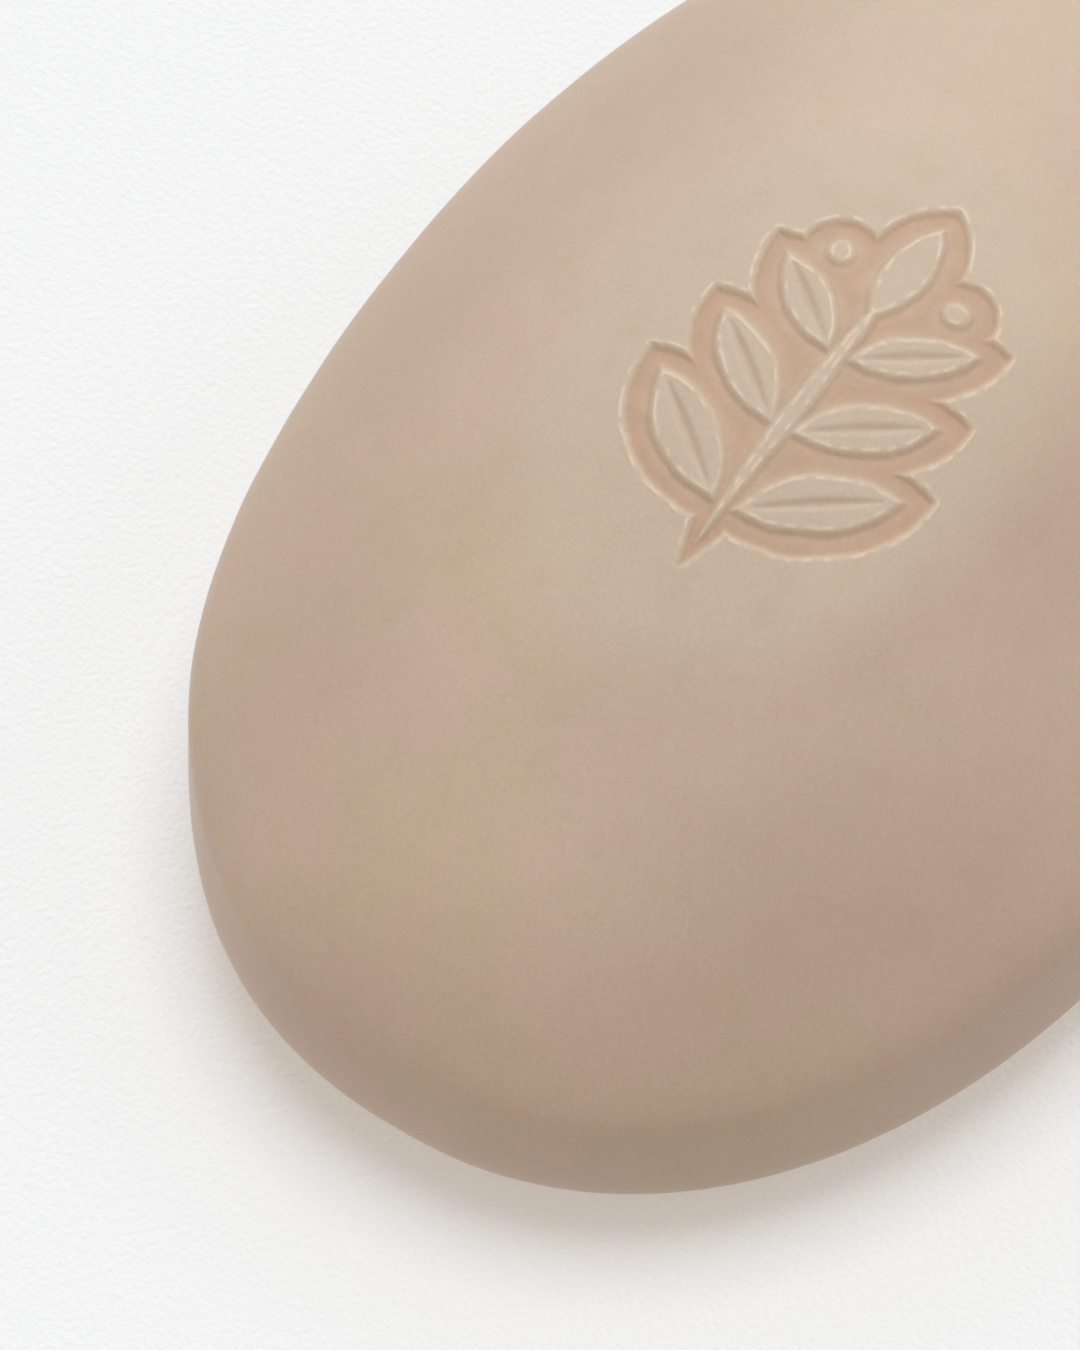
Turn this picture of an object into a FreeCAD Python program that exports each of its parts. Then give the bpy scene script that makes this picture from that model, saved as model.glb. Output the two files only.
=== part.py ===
# An oval bar of toilet soap, pressed between two dies, lying on its flat underside.
# One solid: an oval blank that is widest at the plane where the dies met, with a
# domed top, round shoulders and heels, and a leaf sprig pressed into the top. The
# sprig's leaves, stem and berries are left standing at the level of the dome.
# X runs along the bar, Z is up, and the origin is at the centre of the underside.

import FreeCAD, Part
import math
import os
import Sketcher
from FreeCAD import Vector

NODE = "soap_bar"
START, END, CENTRE = range(1, 4)
ORIGIN, X_AXIS, Y_AXIS = -1, -1, -2

SIZES = [
    ("bar_length", 95.0, "overall length of the oval"),
    ("bar_width", 63.4, "overall width of the oval"),
    ("end_radius", 28.0, "plan radius of the two round ends"),
    ("base_depth", 13.1, "underside to the plane where the dies met"),
    ("shoulder_height", 3.8, "that plane to the rim of the dome"),
    ("dome_rise", 10.9, "rise of the dome above its rim"),
    ("top_draft", 16.0, "draft of the wall above the dies' plane, degrees"),
    ("base_draft", 2.5, "draft of the wall below the dies' plane, degrees"),
    ("middle_round", 12.0, "rounding of the wall at the dies' plane"),
    ("shoulder_round", 4.0, "rounding where the wall meets the dome"),
    ("heel_round", 9.0, "rounding where the wall meets the underside"),
    ("stamp_depth", 0.4, "depth of the pressed floor, square to the dome"),
    ("stamp_margin", 1.5, "width of the pressed floor round each raised shape"),
    ("tip_margin", 1.7, "how far that floor reaches past a leaf's point"),
    ("stem_length", 21.4, "length of the sprig's stem"),
    ("stem_width", 1.4, "width of the stem at its middle"),
    ("stem_middle", -3.0, "place of the stem's middle along the bar"),
    ("tip_length", 8.2, "length of the leaf at the end of the stem"),
    ("tip_middle", 9.0, "place of that leaf's middle along the bar"),
    ("leaf_length", 10.4, "length of each leaf of the pair nearest the foot"),
    ("leaf_shrink", 0.88, "length of a leaf as a share of the one before it"),
    ("leaf_slimness", 0.38, "width of a leaf as a share of its length"),
    ("leaf_pitch", 6.2, "distance between pairs of leaves along the stem"),
    ("leaf_start", -10.8, "place of the first pair's stalks along the bar"),
    ("leaf_gap", 0.6, "distance from the stem's middle line to a leaf's stalk"),
    ("leaf_angle", 52.0, "angle between the stem and a leaf, degrees"),
    ("rib_width", 0.55, "width of the pressed rib along a leaf's middle"),
    ("rib_share", 0.72, "length of that rib as a share of the leaf's"),
    ("berry_radius", 0.9, "radius of the berries"),
    ("berry_place", 8.2, "place of the berries along the bar"),
    ("berry_spread", 4.2, "distance of each berry from the stem's middle line"),
    ("press_clear", 3.0, "how far the cutting shapes reach past the bar"),
]
PAIRS = 3
SAME = 0.01


# The sheet of driving sizes

doc = FreeCAD.newDocument("soap")
sheet = doc.addObject("Spreadsheet::Sheet", "Sizes")
for row, (alias, value, meaning) in enumerate(SIZES, start=1):
    sheet.set("A%d" % row, alias)
    sheet.set("B%d" % row, str(value))
    sheet.setAlias("B%d" % row, alias)
    sheet.set("C%d" % row, meaning)
doc.recompute()


def dome_radius(span, rise):
    """Radius of an arc that rises by so much over a chord, for the sheet's language."""
    return "((%s / 2)^2 + %s^2) / (2 * %s)" % (span, rise, rise)


THICKNESS = "(Sizes.base_depth + Sizes.shoulder_height + Sizes.dome_rise)"
REACH = "Sizes.bar_width / 2 + Sizes.press_clear"
ALONG = dome_radius("Sizes.bar_length", "Sizes.dome_rise")
ACROSS = dome_radius("Sizes.bar_width", "Sizes.dome_rise")


def size(alias):
    """The sheet's present value, for drawing a sketch near its solved form."""
    return float(sheet.get(alias))


def sheet_value(text):
    """What a text in the sheet's language comes to now."""
    return float(sheet.evalExpression(text))


def origin_plane(body, role):
    return next(f for f in body.Origin.OriginFeatures if f.Role == role)


def add_sketch(body, name, role):
    sketch = body.newObject("Sketcher::SketchObject", name)
    sketch.AttachmentSupport = [(origin_plane(body, role), "")]
    sketch.MapMode = "FlatFace"
    return sketch


def drive(sketch, name, expression, kind, *where):
    """A dimension of a sketch, bound to the sheet."""
    index = sketch.addConstraint(Sketcher.Constraint(kind, *where))
    sketch.renameConstraint(index, name)
    sketch.setExpression("Constraints." + name, expression)


def arc(centre_x, centre_y, radius, first, last):
    """An arc of a circle, counter-clockwise, with its angles in radians."""
    circle = Part.Circle(Vector(centre_x, centre_y, 0), Vector(0, 0, 1), radius)
    return Part.ArcOfCircle(circle, first, last)


# Outline sketches

def draw_oval(sketch):
    """The bar's plan: two end arcs and two flatter side arcs, all tangent."""
    half_long = size("bar_length") / 2
    half_wide = size("bar_width") / 2
    end = size("end_radius")
    reach = half_long - end
    side = (reach**2 + half_wide**2 - end**2) / (2 * (half_wide - end))
    drop = side - half_wide
    turn = math.atan2(drop, reach)
    right = sketch.addGeometry(arc(reach, 0, end, -turn, turn))
    back = sketch.addGeometry(arc(0, -drop, side, turn, math.pi - turn))
    left = sketch.addGeometry(arc(-reach, 0, end, math.pi - turn, math.pi + turn))
    front = sketch.addGeometry(arc(0, drop, side, math.pi + turn, 2 * math.pi - turn))
    sketch.addConstraint([
        Sketcher.Constraint("Tangent", right, END, back, START),
        Sketcher.Constraint("Tangent", back, END, left, START),
        Sketcher.Constraint("Tangent", front, END, right, START),
        Sketcher.Constraint("Tangent", left, END, front, START),
        Sketcher.Constraint("PointOnObject", right, CENTRE, X_AXIS),
        Sketcher.Constraint("PointOnObject", left, CENTRE, X_AXIS),
        Sketcher.Constraint("PointOnObject", back, CENTRE, Y_AXIS),
        Sketcher.Constraint("Equal", right, left),
        Sketcher.Constraint("Equal", back, front),
    ])
    drive(sketch, "end_arc", "Sizes.end_radius", "Radius", right, end)
    drive(sketch, "end_reach", "Sizes.bar_length / 2 - Sizes.end_radius",
          "DistanceX", ORIGIN, START, right, CENTRE, reach)
    reach_text = "(Sizes.bar_length / 2 - Sizes.end_radius)"
    drive(sketch, "side_arc",
          "(" + reach_text + "^2 + (Sizes.bar_width / 2)^2 - Sizes.end_radius^2)"
          " / (Sizes.bar_width - 2 * Sizes.end_radius)",
          "Radius", back, side)


def draw_leaf(sketch, length, width):
    """A leaf of two equal arcs that meet in points, about the sketch's origin."""
    long = sheet_value(length)
    wide = sheet_value(width)
    radius = (long**2 + wide**2) / (4 * wide)
    drop = radius - wide / 2
    half_turn = math.acos(drop / radius)
    upper = sketch.addGeometry(
        arc(0, -drop, radius, math.pi / 2 - half_turn, math.pi / 2 + half_turn))
    lower = sketch.addGeometry(
        arc(0, drop, radius, 1.5 * math.pi - half_turn, 1.5 * math.pi + half_turn))
    sketch.addConstraint([
        Sketcher.Constraint("Coincident", upper, END, lower, START),
        Sketcher.Constraint("Coincident", lower, END, upper, START),
        Sketcher.Constraint("PointOnObject", upper, CENTRE, Y_AXIS),
        Sketcher.Constraint("Symmetric", upper, CENTRE, lower, CENTRE, ORIGIN, START),
        Sketcher.Constraint("Equal", upper, lower),
    ])
    arc_radius = "((%s)^2 + (%s)^2) / (4 * (%s))" % (length, width, width)
    drive(sketch, "side_arc", arc_radius, "Radius", upper, radius)
    drive(sketch, "arc_drop", "%s - (%s) / 2" % (arc_radius, width),
          "DistanceY", upper, CENTRE, ORIGIN, START, drop)


def draw_berry(sketch, radius):
    circle = Part.Circle(Vector(), Vector(0, 0, 1), sheet_value(radius))
    berry = sketch.addGeometry(circle)
    sketch.addConstraint(Sketcher.Constraint("Coincident", berry, CENTRE, ORIGIN, START))
    drive(sketch, "berry_arc", radius, "Radius", berry, sheet_value(radius))


def draw_dome(sketch, along, across, inside):
    """The profile that a groove turns about the sketch's X axis, which lies across
    the bar.

    The arc is the dome's section across the bar, of the radius across, and it
    passes the axis at the distance along. The area is what lies outside that
    arc, or between it and the axis when inside is true."""
    radius = sheet_value(across)
    rise = sheet_value(along) - radius
    reach = sheet_value(REACH)
    edge = math.sqrt(radius**2 - reach**2) + rise
    far = 0.0 if inside else sheet_value("%s + %s" % (along, THICKNESS))
    turn = math.asin(reach / radius)
    dome = sketch.addGeometry(
        arc(0, rise, radius, math.pi / 2 - turn, math.pi / 2 + turn))
    left = sketch.addGeometry(Part.LineSegment(Vector(-reach, edge, 0), Vector(-reach, far, 0)))
    shut = sketch.addGeometry(Part.LineSegment(Vector(-reach, far, 0), Vector(reach, far, 0)))
    right = sketch.addGeometry(Part.LineSegment(Vector(reach, far, 0), Vector(reach, edge, 0)))
    sketch.addConstraint([
        Sketcher.Constraint("Coincident", dome, END, left, START),
        Sketcher.Constraint("Coincident", left, END, shut, START),
        Sketcher.Constraint("Coincident", shut, END, right, START),
        Sketcher.Constraint("Coincident", right, END, dome, START),
        Sketcher.Constraint("PointOnObject", dome, CENTRE, Y_AXIS),
        Sketcher.Constraint("Vertical", left),
        Sketcher.Constraint("Vertical", right),
        Sketcher.Constraint("Equal", left, right),
    ])
    if inside:
        sketch.addConstraint(Sketcher.Constraint("PointOnObject", shut, START, X_AXIS))
        sketch.addConstraint(Sketcher.Constraint("PointOnObject", shut, END, X_AXIS))
    else:
        sketch.addConstraint(Sketcher.Constraint("Horizontal", shut))
        drive(sketch, "far_edge", "%s + %s" % (along, THICKNESS),
              "DistanceY", ORIGIN, START, shut, START, far)
    drive(sketch, "dome_arc", across, "Radius", dome, radius)
    drive(sketch, "arc_rise", "%s - %s" % (along, across),
          "DistanceY", ORIGIN, START, dome, CENTRE, rise)
    drive(sketch, "half_reach", REACH, "DistanceX", ORIGIN, START, right, END, reach)


def settle(feature):
    """Work the document out, and stop if this feature failed."""
    doc.recompute()
    if not feature.isValid() or feature.Shape.isNull():
        raise RuntimeError(feature.Label + " failed")
    return feature


# Features

def groove_dome(body, name, along, across, inside):
    """Cut the body along the dome, or along one parallel to it.

    The profile is drawn on the side of its axis away from the bar, so that the
    seam of the turned face stays off it."""
    sketch = add_sketch(body, name + "_profile", "YZ_Plane")
    draw_dome(sketch, along, across, inside)
    sketch.AttachmentOffset = FreeCAD.Placement(
        Vector(), FreeCAD.Rotation(Vector(0, 0, 1), 180))
    sketch.setExpression("AttachmentOffset.Base.y", "%s - %s" % (THICKNESS, ALONG))
    groove = body.newObject("PartDesign::Groove", name)
    groove.Profile = sketch
    groove.ReferenceAxis = (sketch, ["H_Axis"])
    groove.Angle = 360
    before = groove.BaseFeature.Shape.Volume
    settle(groove)
    if groove.Shape.Volume >= before:
        raise RuntimeError(name + " cut nothing")


def rim(body, side):
    """The edges of the body's highest face, where side is 1, or its lowest, where -1."""
    return max(body.Tip.Shape.Faces, key=lambda face: side * face.CenterOfMass.z).Edges


def edges_at(feature, height):
    """The edges of a feature that lie level at a height."""
    level = sheet_value(height)
    return [edge for edge in feature.Shape.Edges
            if all(abs(point.z - level) < SAME for point in edge.discretize(5))]


def round_edges(body, name, chosen, radius):
    base = body.Tip
    names = ["Edge%d" % number for number, edge in enumerate(base.Shape.Edges, start=1)
             if any(edge.isSame(other) for other in chosen)]
    rounding = body.newObject("PartDesign::Fillet", name)
    rounding.Base = (base, names)
    rounding.setExpression("Radius", radius)
    settle(rounding)


def make_blank():
    """An oval billet with drafts to both dies, under a domed top die."""
    blank = doc.addObject("PartDesign::Body", "soap_blank")
    plan = add_sketch(blank, "oval_plan", "XY_Plane")
    plan.setExpression("AttachmentOffset.Base.z", "Sizes.base_depth")
    draw_oval(plan)
    billet = blank.newObject("PartDesign::Pad", "billet")
    billet.Profile = plan
    billet.SideType = "Two sides"
    billet.setExpression("Length", "Sizes.shoulder_height + Sizes.dome_rise")
    billet.setExpression("TaperAngle", "-Sizes.top_draft")
    billet.setExpression("Length2", "Sizes.base_depth")
    billet.setExpression("TaperAngle2", "-Sizes.base_draft")
    settle(billet)
    round_edges(blank, "middle", edges_at(billet, "Sizes.base_depth"), "Sizes.middle_round")
    groove_dome(blank, "dome", ALONG, ACROSS, False)
    round_edges(blank, "shoulder", rim(blank, 1), "Sizes.shoulder_round")
    round_edges(blank, "heel", rim(blank, -1), "Sizes.heel_round")
    return blank


def place(sketch, along, across, turn):
    """Put a shape of the sprig at its place on the dome, turned from the stem."""
    sketch.AttachmentOffset = FreeCAD.Placement(
        Vector(), FreeCAD.Rotation(Vector(0, 0, 1), sheet_value(turn)))
    sketch.setExpression("AttachmentOffset.Base.x", along)
    sketch.setExpression("AttachmentOffset.Base.y", across)
    sketch.setExpression("AttachmentOffset.Rotation.Angle", turn)


def press(die, name, draw, raised):
    """Add a drawn shape to the die, or take it out where the bar stays raised."""
    sketch = add_sketch(die, name + "_outline", "XY_Plane")
    draw(sketch, raised)
    feature = die.newObject("PartDesign::" + ("Pocket" if raised else "Pad"), name)
    feature.Profile = sketch
    feature.Reversed = raised
    feature.setExpression("Length", "%s + Sizes.press_clear" % THICKNESS)
    return settle(feature)


def mirror(die, name, features):
    """Repeat features on the other side of the stem."""
    mirrored = die.newObject("PartDesign::Mirrored", name)
    mirrored.Originals = features
    mirrored.MirrorPlane = (origin_plane(die, "XZ_Plane"), [""])
    die.Tip = mirrored
    settle(mirrored)


def draw_leaf_at(length, width, along, across, turn):
    """A leaf of the sprig at its place, in both of its outlines.

    Where the bar stays raised the leaf has its own size, and the pressed floor
    round it is wider by the margin. Each size is a text for the sheet's language."""
    def draw(sketch, raised):
        if raised:
            draw_leaf(sketch, length, width)
        else:
            draw_leaf(sketch, "%s + 2 * Sizes.tip_margin" % length,
                      "%s + 2 * Sizes.stamp_margin" % width)
        place(sketch, along, across, turn)
    return draw


def draw_berry_at(along, across):
    def draw(sketch, raised):
        grown = "Sizes.berry_radius + Sizes.stamp_margin"
        draw_berry(sketch, "Sizes.berry_radius" if raised else grown)
        place(sketch, along, across, "0")
    return draw


def make_die():
    """What presses the sprig: its floor, with the leaves, stem and berries left out."""
    die = doc.addObject("PartDesign::Body", "sprig_die")
    middle = {
        "stem": draw_leaf_at("Sizes.stem_length", "Sizes.stem_width",
                             "Sizes.stem_middle", "0", "0"),
        "tip": draw_leaf_at("Sizes.tip_length", "Sizes.tip_length * Sizes.leaf_slimness",
                            "Sizes.tip_middle", "0", "0"),
    }
    one_side = {"berry": draw_berry_at("Sizes.berry_place", "Sizes.berry_spread")}
    ribs = {}
    for pair in range(PAIRS):
        length = "Sizes.leaf_length * Sizes.leaf_shrink^%d" % pair
        along = ("Sizes.leaf_start + %d * Sizes.leaf_pitch"
                 " + cos(Sizes.leaf_angle * 1deg) * %s / 2" % (pair, length))
        across = "Sizes.leaf_gap + sin(Sizes.leaf_angle * 1deg) * %s / 2" % length
        one_side["leaf_%d" % pair] = draw_leaf_at(
            length, length + " * Sizes.leaf_slimness", along, across, "Sizes.leaf_angle")
        ribs["rib_%d" % pair] = draw_leaf_at(
            length + " * Sizes.rib_share", "Sizes.rib_width", along, across,
            "Sizes.leaf_angle")

    for raised in (False, True):
        kind = "_raised" if raised else "_floor"
        for name, draw in middle.items():
            press(die, name + kind, draw, raised)
        mirror(die, "far_side" + kind,
               [press(die, name + kind, draw, raised) for name, draw in one_side.items()])
    mirror(die, "far_side_ribs",
           [press(die, name, lambda sketch, raised, draw=draw: draw(sketch, True), False)
            for name, draw in ribs.items()])

    groove_dome(die, "floor_dome", "(%s - Sizes.stamp_depth)" % ALONG,
                 "(%s - Sizes.stamp_depth)" % ACROSS, True)
    return die


blank = make_blank()
die = make_die()
bar = doc.addObject("Part::Cut", "pressed_bar")
bar.Base = blank
bar.Tool = die
bar.Label = NODE
doc.recompute()

for thing in doc.Objects:
    if "Invalid" in thing.State or "Error" in thing.State:
        raise RuntimeError(thing.Label + " did not work out")
if bar.Shape.isNull() or not bar.Shape.isValid():
    raise RuntimeError("the bar has no sound shape")

box = bar.Shape.optimalBoundingBox()
print("%s: %d solid, %.1f cm3, %.2f x %.2f x %.2f mm, floor at %.3f" % (
    bar.Label, len(bar.Shape.Solids), bar.Shape.Volume / 1000,
    box.XLength, box.YLength, box.ZLength, box.ZMin))
os.makedirs("parts", exist_ok=True)
bar.Shape.exportStep(os.path.join("parts", bar.Label + ".step"))
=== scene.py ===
import math

import bpy
import numpy as np
from mathutils import Matrix, Vector


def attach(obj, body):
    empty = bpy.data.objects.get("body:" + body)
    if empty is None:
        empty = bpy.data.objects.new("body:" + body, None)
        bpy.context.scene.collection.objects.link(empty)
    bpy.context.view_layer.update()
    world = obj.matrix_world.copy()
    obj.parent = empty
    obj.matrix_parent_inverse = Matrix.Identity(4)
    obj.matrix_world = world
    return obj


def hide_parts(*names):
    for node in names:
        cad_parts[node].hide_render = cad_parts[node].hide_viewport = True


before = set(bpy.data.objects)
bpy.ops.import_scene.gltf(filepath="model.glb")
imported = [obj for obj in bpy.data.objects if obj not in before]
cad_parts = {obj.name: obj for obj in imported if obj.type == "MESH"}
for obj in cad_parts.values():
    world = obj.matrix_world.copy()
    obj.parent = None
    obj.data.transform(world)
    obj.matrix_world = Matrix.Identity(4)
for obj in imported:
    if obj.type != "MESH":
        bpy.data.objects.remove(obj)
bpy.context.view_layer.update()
MM = 0.001

# How the picture was taken, found by matching the bar's outline
TURN = math.radians(56.22)
TILT = math.radians(57.82)
DISTANCE = 600.0
ACROSS_PICTURE = Vector((math.cos(TURN), -math.sin(TURN), 0))
INTO_PICTURE = Vector((math.sin(TURN) * math.cos(TILT), math.cos(TURN) * math.cos(TILT),
                       -math.sin(TILT)))
UP_PICTURE = ACROSS_PICTURE.cross(INTO_PICTURE)
BEHIND = Vector((math.sin(TURN), math.cos(TURN), 0))

# The bar's form, in millimetres about the middle of the plane where the dies met
HALF_LONG = 47.5
HALF_WIDE = 31.59
OVAL_POWER = 2.24
TOP_HEIGHT = 14.6
TOP_POWER = 2.14
TOP_SINK = 0.32
BASE_DEPTH = 13.1
HEEL_POWER = 5.2

# The pressed sprig, with the CAD part's sizes
STAMP_DEPTH = 0.25
STAMP_MARGIN = 1.5
TIP_MARGIN = 1.7
STEM = {"length": 21.4, "width": 1.4, "middle": -3.0}
TIP = {"length": 8.2, "middle": 9.0}
LEAF = {"length": 10.4, "shrink": 0.88, "slimness": 0.38, "pitch": 6.2,
        "start": -10.8, "gap": 0.6, "angle": math.radians(52)}
PAIRS = 3
RIB = {"width": 0.55, "share": 0.72}
BERRY = {"radius": 0.9, "along": 8.2, "across": 4.2}
WALL = 0.6

# Soft lumps of the top: place, spread and height, in millimetres
LUMPS = [
    ((10.0, -19.0), (8.0, 7.0), -0.75),
    ((-3.0, 23.5), (26.0, 4.5), 0.42),
    ((-36.5, 1.5), (6.0, 8.0), 0.22),
    ((-24.0, 3.0), (5.0, 6.0), 0.12),
    ((-18.0, -14.0), (7.0, 5.0), -0.15),
]
PLATFORM = {"middle": (-1.5, 1.4), "half": (20.0, 14.0), "rise": 0.3, "dip": 0.15}
BEVEL = 0.72

# Painted light and shade on the skin, in paler and darker fields, which are also a little pinker
# where darker: place, spread and amount
PAINTED_SHADE_AND_TONE_FIELDS = [
    ((-10.0, 26.0), (15.0, 4.5), -0.055),
    ((19.0, 21.0), (12.0, 7.0), -0.075),
    ((24.0, -6.0), (9.0, 9.0), -0.04),
    ((13.0, -8.5), (4.0, 4.0), 0.05),
    ((-36.0, -3.0), (5.0, 5.0), 0.04),
    ((-42.0, 13.0), (4.0, 4.0), 0.05),
    ((-45.0, -9.0), (5.0, 9.0), 0.03),
    ((-19.0, -27.0), (9.0, 6.0), -0.07),
    ((20.0, 0.0), (16.0, 14.0), 0.06),
    ((-22.0, 7.5), (6.0, 4.5), 0.05),
    ((2.0, 29.0), (14.0, 5.0), -0.03),
    ((-12.0, -25.0), (8.0, 5.0), 0.03),
    ((-13.0, -8.5), (8.0, 2.5), 0.04),
    ((-38.5, 3.5), (4.5, 4.5), 0.05),
    ((-27.0, 17.5), (9.0, 6.0), -0.06),
    ((-3.0, 22.0), (14.0, 3.5), -0.03),
    ((1.0, -17.5), (9.0, 4.5), -0.09),
    ((-26.0, -15.0), (13.0, 9.0), -0.07),
]

# The mesh: a fine rectangle over the sprig, and rings from it to the underside
RECTANGLE = (-15.9, 15.3, -10.7, 10.7)
CELLS = (256, 176)
TOP_RINGS = 64
HEEL_RINGS = 26
BASE_RINGS = 7
HEEL_REACH = 20.0


def linear(hex_colour):
    """An sRGB colour as hex digits, turned into linear light."""
    channels = [int(hex_colour[i:i + 2], 16) / 255 for i in (0, 2, 4)]
    return [c / 12.92 if c <= 0.04045 else ((c + 0.055) / 1.055) ** 2.4 for c in channels]


def smooth(t):
    """From 0 to 1 with level ends."""
    t = np.clip(t, 0, 1)
    return t * t * (3 - 2 * t)


def waves(points, length, seed, count=16):
    """Soft random lumps of about that wavelength in millimetres, with unit spread."""
    rng = np.random.default_rng(seed)
    total = np.zeros(len(points))
    for _ in range(count):
        way = rng.normal(size=3)
        way /= np.linalg.norm(way)
        pitch = length * rng.uniform(0.7, 1.5)
        total += np.sin(points @ way * (2 * math.pi / pitch) + rng.uniform(0, 2 * math.pi))
    return total / math.sqrt(count / 2)


# Form

def oval_radius(x, y):
    """0 at the middle of the bar and 1 on its outline, seen from above."""
    return (np.abs(x / HALF_LONG) ** OVAL_POWER
            + np.abs(y / HALF_WIDE) ** OVAL_POWER) ** (1 / OVAL_POWER)


def top_level(rho):
    rest = np.clip(1 - rho ** TOP_POWER, 0, 1)
    return TOP_HEIGHT * (1 - TOP_SINK * rho ** 2) * rest ** (1 / TOP_POWER)


def base_level(rho):
    rest = np.clip(1 - rho ** HEEL_POWER, 0, 1)
    return -BASE_DEPTH * rest ** (1 / HEEL_POWER)


def along_profile(first, last, level, reach, lengths):
    """Oval radii along a profile from first to last, at those shares of its length.

    lengths gets the profile's whole length and returns the places on it."""
    share = np.linspace(0, 1, 900)
    if last > first:
        rho = first + (last - first) * (1 - (1 - share) ** 4)
    else:
        rho = first + (last - first) * share ** 4
    steps = np.hypot(np.diff(rho * reach), np.diff(level(rho)))
    length = np.concatenate([[0], np.cumsum(steps)])
    return np.interp(lengths(length[-1]), length, rho)


def base_places(whole):
    """Close rings down the wall and round the heel, and wide ones under the bar."""
    heel = np.linspace(0, HEEL_REACH, HEEL_RINGS + 1)[1:]
    flat = np.linspace(HEEL_REACH, whole, BASE_RINGS + 1)[1:]
    return np.concatenate([heel, flat])


def rectangle_grid(cells):
    """Plan points of a grid over the rectangle, and its outline as a closed loop."""
    left, right, near, far = RECTANGLE
    xs = np.linspace(left, right, cells[0] + 1)
    ys = np.linspace(near, far, cells[1] + 1)
    x, y = np.meshgrid(xs, ys, indexing="ij")
    number = np.arange(x.size).reshape(x.shape)
    loop = np.concatenate([number[:-1, 0], number[-1, :-1], number[:0:-1, -1], number[0, :0:-1]])
    return x.ravel(), y.ravel(), number, loop


def grid_faces(number, upward):
    corners = [number[:-1, :-1], number[1:, :-1], number[1:, 1:], number[:-1, 1:]]
    if not upward:
        corners.reverse()
    return np.stack([c.ravel() for c in corners], axis=1)


def bar_mesh():
    """Points of the plain bar and its faces, as quads and triangles."""
    x, y, number, loop = rectangle_grid(CELLS)
    points = [np.stack([x, y, top_level(oval_radius(x, y))], axis=1)]
    faces = [grid_faces(number, True)]
    starts = loop[::2]
    first = oval_radius(x[starts], y[starts])
    plan = np.stack([x[starts], y[starts]], axis=1) / first[:, None]
    reach = np.linalg.norm(plan, axis=1)

    rings = []
    for which in range(len(starts)):
        top = along_profile(first[which], 1.0, top_level, reach[which],
                            lambda whole: np.linspace(0, whole, TOP_RINGS + 1)[1:])
        base = along_profile(1.0, first[which], base_level, reach[which], base_places)
        rings.append(np.concatenate([top, base]))
    rho = np.array(rings).T
    level = np.concatenate([top_level(rho[:TOP_RINGS]), base_level(rho[TOP_RINGS:])])
    level[TOP_RINGS - 1] = 0
    ring_points = np.concatenate([plan[None] * rho[:, :, None], level[:, :, None]], axis=2)

    count = len(starts)
    offset = x.size
    ring = offset + np.arange(len(rho) * count).reshape(len(rho), count)
    points.append(ring_points.reshape(-1, 3))
    ahead = np.roll(ring, -1, axis=1)
    faces.append(np.stack([ring[:-1].ravel(), ring[1:].ravel(), ahead[1:].ravel(),
                           ahead[:-1].ravel()], axis=1))
    here, middle, following = loop[::2], loop[1::2], np.roll(loop[::2], -1)
    strip = [np.stack([here, ring[0], middle], axis=1),
             np.stack([middle, ring[0], ahead[0]], axis=1),
             np.stack([middle, ahead[0], following], axis=1)]

    under_cells = (CELLS[0] // 2, CELLS[1] // 2)
    ux, uy, under, under_loop = rectangle_grid(under_cells)
    shared = {int(u): int(r) for u, r in zip(under_loop, ring[-1])}
    inner = [u for u in range(ux.size) if u not in shared]
    renumber = np.zeros(ux.size, int)
    renumber[inner] = offset + ring.size + np.arange(len(inner))
    for u, r in shared.items():
        renumber[u] = r
    under_points = np.stack([ux, uy, base_level(oval_radius(ux, uy))], axis=1)
    points.append(under_points[inner])
    faces.append(renumber[grid_faces(under, False)])
    return np.concatenate(points), np.concatenate(faces), np.concatenate(strip)


def point_normals(points, quads, triangles):
    """Outward unit normals, weighted by the size of the faces round each point."""
    total = np.zeros_like(points)
    for faces, a, b in ((quads, (2, 0), (3, 1)), (triangles, (1, 0), (2, 0))):
        one = points[faces[:, a[0]]] - points[faces[:, a[1]]]
        other = points[faces[:, b[0]]] - points[faces[:, b[1]]]
        normal = np.cross(one, other)
        for corner in range(faces.shape[1]):
            np.add.at(total, faces[:, corner], normal)
    return total / np.linalg.norm(total, axis=1)[:, None]


# The sprig as distances from its outlines, negative inside

def leaf_distance(x, y, length, width):
    """Distance from a leaf of two arcs that lies along x about the origin."""
    radius = (length ** 2 + width ** 2) / (4 * width)
    drop = radius - width / 2
    half = length / 2
    x, y = np.abs(x), np.abs(y)
    to_point = np.hypot(x - half, y)
    to_arc = np.hypot(x, y + drop) - radius
    return np.where((x - half) * drop > y * half, to_point, to_arc)


def sprig_leaves():
    """Place, turn, length, width and whether it has a rib, of every leaf and the stem."""
    leaves = [(STEM["middle"], 0, 0, STEM["length"], STEM["width"], False),
              (TIP["middle"], 0, 0, TIP["length"], TIP["length"] * LEAF["slimness"], False)]
    for pair in range(PAIRS):
        length = LEAF["length"] * LEAF["shrink"] ** pair
        along = LEAF["start"] + pair * LEAF["pitch"] + math.cos(LEAF["angle"]) * length / 2
        across = LEAF["gap"] + math.sin(LEAF["angle"]) * length / 2
        for side in (1, -1):
            leaves.append((along, side * across, side * LEAF["angle"],
                           length, length * LEAF["slimness"], True))
    return leaves


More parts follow.
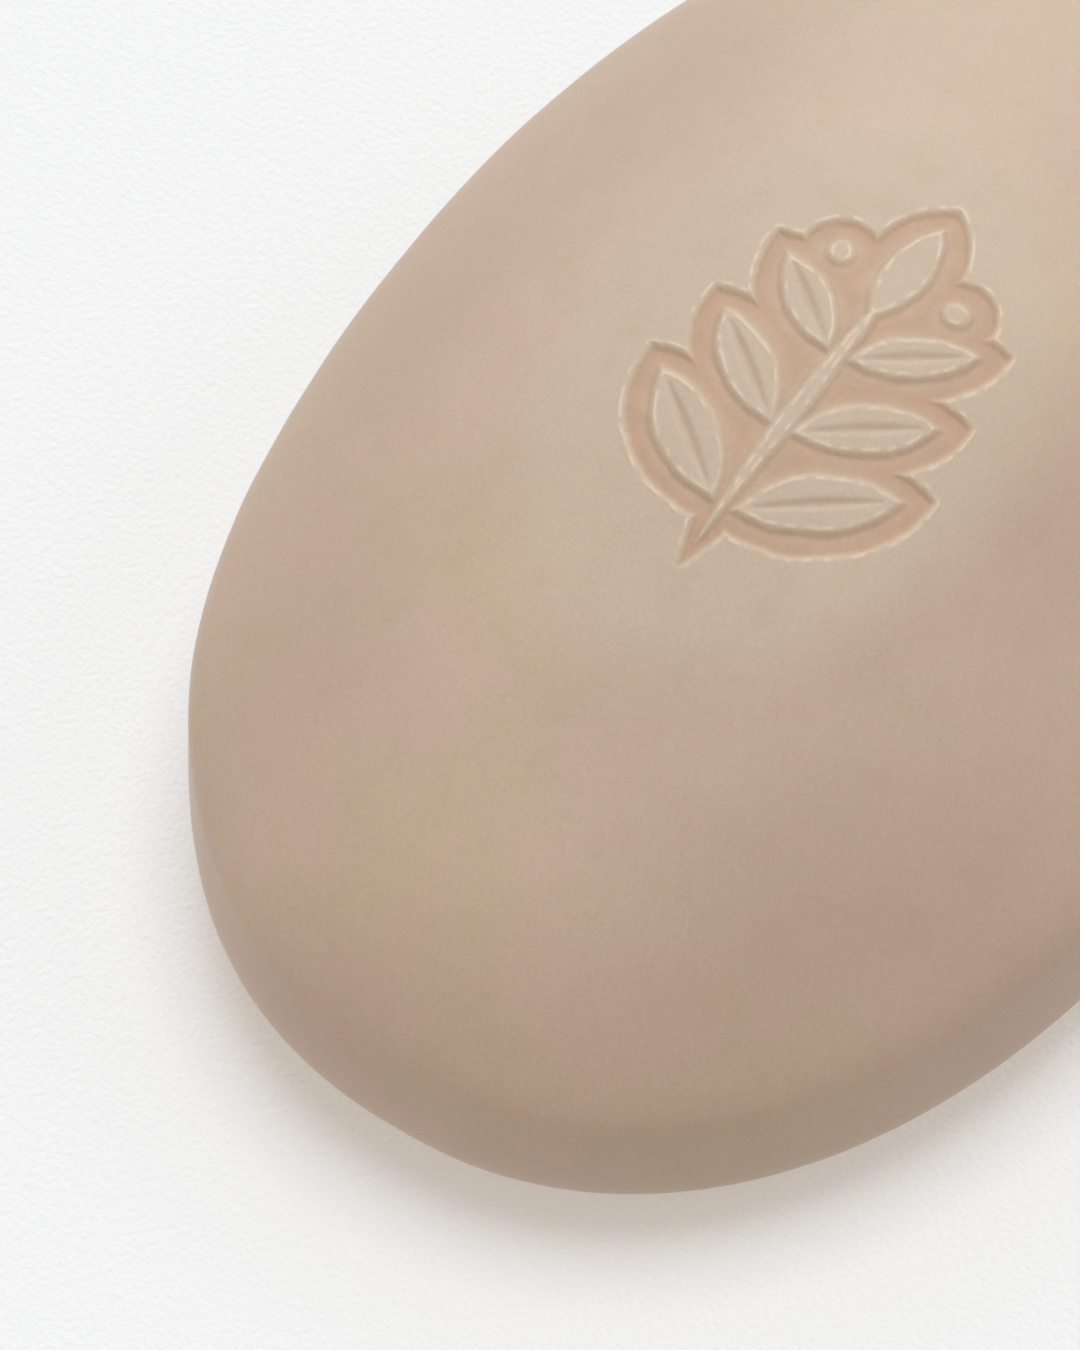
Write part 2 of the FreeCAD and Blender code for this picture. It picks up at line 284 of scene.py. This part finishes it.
def sprig_distances(x, y):
    """Distances from the outlines of the floor, of what stands on it, and of the ribs."""
    floor = np.full(x.shape, 99.0)
    raised = floor.copy()
    rib = floor.copy()
    for along, across, turn, length, width, ribbed in sprig_leaves():
        dx, dy = x - along, y - across
        u = dx * math.cos(turn) + dy * math.sin(turn)
        v = dy * math.cos(turn) - dx * math.sin(turn)
        grown = leaf_distance(u, v, length + 2 * TIP_MARGIN, width + 2 * STAMP_MARGIN)
        floor = np.minimum(floor, grown)
        raised = np.minimum(raised, leaf_distance(u, v, length, width))
        if ribbed:
            rib = np.minimum(rib, leaf_distance(u, v, length * RIB["share"], RIB["width"]))
    for side in (1, -1):
        berry = np.hypot(x - BERRY["along"], y - side * BERRY["across"]) - BERRY["radius"]
        floor = np.minimum(floor, berry - STAMP_MARGIN)
        raised = np.minimum(raised, berry)
    return floor, raised, rib


def mound(points, place, spread):
    """1 at a place on the top, falling off smoothly round it."""
    away = (points[:, :2] - np.array(place)) / spread
    return np.exp(-np.sum(away ** 2, axis=1))


def build_bar():
    points, quads, triangles = bar_mesh()
    normals = point_normals(points, quads, triangles)
    upper = smooth(points[:, 2] / 4)

    # Soft hand-worn lumps, and the slightly raised platform that the die left round the sprig
    out = 0.035 * waves(points, 19, 3) + 0.010 * waves(points, 6, 4)
    from_middle = (points[:, :2] - PLATFORM["middle"]) / PLATFORM["half"]
    field = np.linalg.norm(from_middle, axis=1)
    out += upper * (PLATFORM["rise"] * smooth((1.32 - field) / 0.4)
                    - PLATFORM["dip"] * smooth((1.05 - field) / 0.6))
    for place, spread, height in LUMPS:
        out += upper * height * mound(points, place, spread)
    # The near end is bevelled by wear above its wall
    near = -(points[:, 0] * BEHIND.x + points[:, 1] * BEHIND.y)
    to_right = points[:, 0] * ACROSS_PICTURE.x + points[:, 1] * ACROSS_PICTURE.y
    bevel = np.exp(-((points[:, 2] - 4.4 - 0.09 * to_right) / 3.8) ** 2)
    out -= BEVEL * bevel * smooth((near - 8) / 20)
    rest = smooth((points[:, 2] + BASE_DEPTH) / 1.5)
    out = out * rest

    # The pressed sprig
    rough = 0.014 * waves(points, 0.8, 5) + 0.04 * waves(points, 2.6, 6)
    floor, raised, rib = sprig_distances(points[:, 0], points[:, 1])
    distance = np.where(points[:, 2] > 6, np.maximum(floor, -raised), 99.0) + rough
    groove = np.where(points[:, 2] > 6, smooth(0.5 - rib / RIB["width"]), 0.0)
    sunk = np.maximum(smooth(0.5 - distance / WALL), 0.7 * groove)
    crumbs = smooth(0.55 + 0.6 * waves(points, 1.1, 7))
    # A small raised lip of crumbs along the floor's edges; its mask also carries a painted
    # highlight there
    lip_and_highlight = np.exp(-((distance - 0.32) / 0.1) ** 2) * crumbs
    out += 0.05 * lip_and_highlight - STAMP_DEPTH * sunk
    out += sunk * 0.015 * waves(points, 1.7, 8)

    points = points + normals * out[:, None]
    points[:, 2] += BASE_DEPTH
    points *= MM

    mesh = bpy.data.meshes.new("soap")
    mesh.from_pydata(points.tolist(), [], quads.tolist() + triangles.tolist())
    mesh.update()
    mesh.shade_smooth()
    # The paler and darker fields are painted light and shade, with a pinker tone where darker
    fields = sum(amount * mound(points / MM, place, spread) for place, spread, amount in PAINTED_SHADE_AND_TONE_FIELDS)
    layers = {
        "field": 1 + fields,
        "platform": upper * smooth((1.25 - field) / 0.4),
        "pressed": np.maximum(smooth(0.5 - distance / 0.24), 0.6 * groove),
        # painted shade on the floor, close to the walls round the hollow
        "corner": np.exp(-((floor + rough + 0.3) / 0.7) ** 2) * (distance < 0.2),
        "lip_and_highlight": lip_and_highlight,
    }
    for name, values in layers.items():
        layer = mesh.attributes.new(name, "FLOAT", "POINT")
        layer.data.foreach_set("value", values.astype(np.float32))
    bar = bpy.data.objects.new("soap", mesh)
    bpy.context.scene.collection.objects.link(bar)
    return bar


# Materials

def add_node(tree, kind, settings=(), **inputs):
    """Adds a node. settings are its own values; inputs are sockets' values or links.

    A socket is named by its label, with _ for a space, or by s and its number."""
    made = tree.nodes.new(kind)
    for name, value in dict(settings).items():
        setattr(made, name, value)
    for name, value in inputs.items():
        if name[0] == "s" and name[1:].isdigit():
            socket = made.inputs[int(name[1:])]
        else:
            socket = made.inputs[name.replace("_", " ")]
        if isinstance(value, bpy.types.NodeSocket):
            tree.links.new(value, socket)
        else:
            socket.default_value = value
    return made


def new_material(name):
    material = bpy.data.materials.new(name)
    material.use_nodes = True
    tree = material.node_tree
    tree.nodes.clear()
    output = tree.nodes.new("ShaderNodeOutputMaterial")
    return material, tree, output


def place_in_mm(tree):
    coordinates = add_node(tree, "ShaderNodeTexCoord")
    return add_node(tree, "ShaderNodeVectorMath", {"operation": "SCALE"},
                    s0=coordinates.outputs["Object"], Scale=1 / MM).outputs["Vector"]


def noise(tree, place, pitch, detail=2.0, roughness=0.5):
    """Noise of about that pitch in millimetres, from 0 to 1."""
    return add_node(tree, "ShaderNodeTexNoise", Vector=place, Scale=1 / pitch,
                    Detail=detail, Roughness=roughness).outputs["Fac"]


def ramp(tree, value, low, high, out_low=0.0, out_high=1.0):
    """A value's stretch from low to high, laid over another and kept inside it."""
    return add_node(tree, "ShaderNodeMapRange", {"interpolation_type": "SMOOTHSTEP"},
                    Value=value, From_Min=low, From_Max=high, To_Min=out_low,
                    To_Max=out_high).outputs["Result"]


def maths(tree, operation, first, second):
    return add_node(tree, "ShaderNodeMath", {"operation": operation},
                    s0=first, s1=second).outputs["Value"]


def mix(tree, amount, first, second, blend="MIX"):
    colours = [c if isinstance(c, bpy.types.NodeSocket) else (*linear(c), 1)
               for c in (first, second)]
    return add_node(tree, "ShaderNodeMix", {"data_type": "RGBA", "blend_type": blend},
                    s0=amount, s6=colours[0], s7=colours[1]).outputs[2]


def soap_material():
    """Milled soap: matt and slightly see-through, which softens the sprig's edges."""
    material, tree, output = new_material("milled_soap")
    place = place_in_mm(tree)
    pressed = add_node(tree, "ShaderNodeAttribute", {"attribute_name": "pressed"}).outputs["Fac"]
    lip_and_highlight = add_node(tree, "ShaderNodeAttribute", {"attribute_name": "lip_and_highlight"}).outputs["Fac"]

    # Clouds of a slightly warmer and a slightly greyer tone give the eye an uneven skin
    clouds = ramp(tree, noise(tree, place, 13, 3), 0.35, 0.65)
    skin = mix(tree, clouds, "b4a08c", "b69f8f")
    # The platform round the sprig is a little greyer
    platform = add_node(tree, "ShaderNodeAttribute", {"attribute_name": "platform"})
    skin = mix(tree, platform.outputs["Fac"], skin, "b4a390")
    patches = ramp(tree, noise(tree, place, 2.6, 3), 0.45, 0.75, 0, 0.35)
    skin = mix(tree, patches, skin, "af9a85")
    # The darker fields are painted shade, and a little pinker as well; the paler ones are
    # painted light
    field = add_node(tree, "ShaderNodeAttribute", {"attribute_name": "field"}).outputs["Fac"]
    skin = mix(tree, ramp(tree, field, 1.0, 0.9, 0.0, 0.35), skin, "b29788")
    # The pressed floor is darker and warmer than the skin
    floor_tone = ramp(tree, noise(tree, place, 2.2, 2), 0.35, 0.7)
    floor = mix(tree, floor_tone, "b39880", "ae9580")
    # Painted shade: the floor is darker close to the walls round the hollow
    corner = add_node(tree, "ShaderNodeAttribute", {"attribute_name": "corner"}).outputs["Fac"]
    floor = mix(tree, maths(tree, "MULTIPLY", corner, 0.5), floor, "a98468")
    colour = mix(tree, maths(tree, "MULTIPLY", pressed, 0.9), skin, floor)
    # Dry crumbs along the edges of the floor, with a painted highlight where they catch the
    # light
    colour = mix(tree, maths(tree, "MULTIPLY", lip_and_highlight, 0.6), colour, "d2c3b0")
    grain = noise(tree, place, 0.35, 3, 0.6)
    fine = noise(tree, place, 0.12, 2)
    speckle = maths(tree, "ADD", ramp(tree, fine, 0.3, 0.7, 0.965, 1.035),
                    ramp(tree, grain, 0.3, 0.7, -0.02, 0.02))
    # Painted light and shade: the colour is scaled by the paler and darker fields, and by the
    # grain's speckle
    colour = add_node(tree, "ShaderNodeVectorMath", {"operation": "SCALE"}, s0=colour,
                      Scale=maths(tree, "MULTIPLY", field, speckle)).outputs["Vector"]

    # Fine grain: the skin reads as dry and matt from near by
    height = maths(tree, "ADD", maths(tree, "MULTIPLY", grain, 1.0),
                   maths(tree, "MULTIPLY", fine, 0.4))
    bump = add_node(tree, "ShaderNodeBump", Strength=1.0, Distance=0.02 * MM, Height=height)
    skin_shader = add_node(
        tree, "ShaderNodeBsdfPrincipled", {"subsurface_method": "RANDOM_WALK"},
        Base_Color=colour, Roughness=0.55, Specular_IOR_Level=0.4, IOR=1.45,
        Subsurface_Weight=0.3, Subsurface_Radius=(1.0, 0.5, 0.3), Subsurface_Scale=1.2 * MM,
        Sheen_Weight=0.15, Sheen_Roughness=0.3, Normal=bump.outputs["Normal"])
    tree.links.new(skin_shader.outputs["BSDF"], output.inputs["Surface"])
    return material


def seen_rays(tree):
    """1 where a ray shows the ground itself, and 0 where it only carries its light on."""
    rays = add_node(tree, "ShaderNodeLightPath").outputs
    return maths(tree, "ADD", rays["Is Camera Ray"],
                 maths(tree, "ADD", rays["Is Glossy Ray"], rays["Is Transmission Ray"]))


def card_material():
    """Matt white card: the plain ground of the picture, with a fine paper grain."""
    material, tree, output = new_material("white_card")
    place = place_in_mm(tree)
    grain = noise(tree, place, 0.45, 2)
    bump = add_node(tree, "ShaderNodeBump", Strength=1.0, Distance=0.1 * MM, Height=grain)
    seen = seen_rays(tree)
    colour = add_node(tree, "ShaderNodeMix", {"data_type": "RGBA"}, s0=seen,
                      s6=(CARD_LIT, CARD_LIT, CARD_LIT, 1), s7=CARD_SEEN).outputs[2]
    lit = add_node(tree, "ShaderNodeBsdfDiffuse", Color=colour, Normal=bump.outputs["Normal"])
    # Part of the card's brightness is its own to the camera, which keeps its shadow light
    # and warm
    own = add_node(tree, "ShaderNodeEmission", Color=CARD_OWN)
    share = maths(tree, "MULTIPLY", seen, OWN_SHARE)
    surface = add_node(tree, "ShaderNodeMixShader", s0=share, s1=lit.outputs["BSDF"],
                       s2=own.outputs["Emission"])
    tree.links.new(surface.outputs["Shader"], output.inputs["Surface"])
    return material


# Light and camera

CARD_LIT = 0.8
CARD_SEEN = (0.715, 0.793, 0.898, 1)
CARD_OWN = (1.08, 0.82, 0.52, 1)
OWN_SHARE = 0.24
ROOM_LIT = (0.44, 0.373, 0.325, 1)
ROOM_SEEN = (0.905, 0.905, 0.905, 1)


def soft_light(name, behind, right, height, strength, colour, angle, shadow=True):
    """A wide, distant source. The three numbers say where it stands, as the camera sees it."""
    data = bpy.data.lights.new(name, "SUN")
    data.energy = strength
    data.color = linear(colour)
    data.angle = math.radians(angle)
    data.use_shadow = shadow
    lamp = bpy.data.objects.new(name, data)
    way = BEHIND * behind + ACROSS_PICTURE * right + Vector((0, 0, height))
    lamp.rotation_mode = "QUATERNION"
    lamp.rotation_quaternion = way.to_track_quat("Z", "Y")
    bpy.context.scene.collection.objects.link(lamp)
    return lamp


def add_lights():
    soft_light("window_behind", 0.87, 0.0, 0.5, 1.52, "ebf7ff", 50, shadow=False)
    soft_light("window_right", 0.0, 0.87, 0.5, 0.53, "ffffff", 50, shadow=False)
    soft_light("wall_left", 0.0, -1.0, 0.1, 0.43, "ffffff", 50, shadow=False)
    soft_light("ceiling", 0.12, 0.07, 1.0, 1.62, "f7feff", 34)


def add_room():
    """Even warm light from all round, which a low camera sees as white as the card."""
    world = bpy.data.worlds.new("room")
    world.use_nodes = True
    tree = world.node_tree
    colour = add_node(tree, "ShaderNodeMix", {"data_type": "RGBA"}, s0=seen_rays(tree),
                      s6=ROOM_LIT, s7=ROOM_SEEN).outputs[2]
    tree.links.new(colour, tree.nodes["Background"].inputs["Color"])
    bpy.context.scene.world = world


def add_camera():
    middle = Vector((0, 0, BASE_DEPTH))
    aim = middle - 17.36 * ACROSS_PICTURE - 10.45 * UP_PICTURE
    place = middle - DISTANCE * INTO_PICTURE
    data = bpy.data.cameras.new("camera")
    data.lens = 260.9
    data.sensor_width = 36
    data.clip_start = 0.05
    data.clip_end = 20
    camera = bpy.data.objects.new("camera", data)
    camera.location = place * MM
    back = (place - aim).normalized()
    side = UP_PICTURE.cross(back).normalized()
    upright = back.cross(side)
    camera.rotation_mode = "QUATERNION"
    camera.rotation_quaternion = Matrix((side, upright, back)).transposed().to_quaternion()
    bpy.context.scene.collection.objects.link(camera)
    bpy.context.scene.camera = camera


def add_card():
    half = 1.5
    mesh = bpy.data.meshes.new("card")
    mesh.from_pydata([(-half, -half, 0), (half, -half, 0), (half, half, 0), (-half, half, 0)],
                     [], [(0, 1, 2, 3)])
    card = bpy.data.objects.new("card", mesh)
    bpy.context.scene.collection.objects.link(card)
    card.data.materials.append(card_material())


soap = build_bar()
soap.data.materials.append(soap_material())
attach(soap, "root")
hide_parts("soap_bar")
add_card()
add_lights()
add_room()
add_camera()
bpy.context.scene.view_settings.view_transform = "Standard"
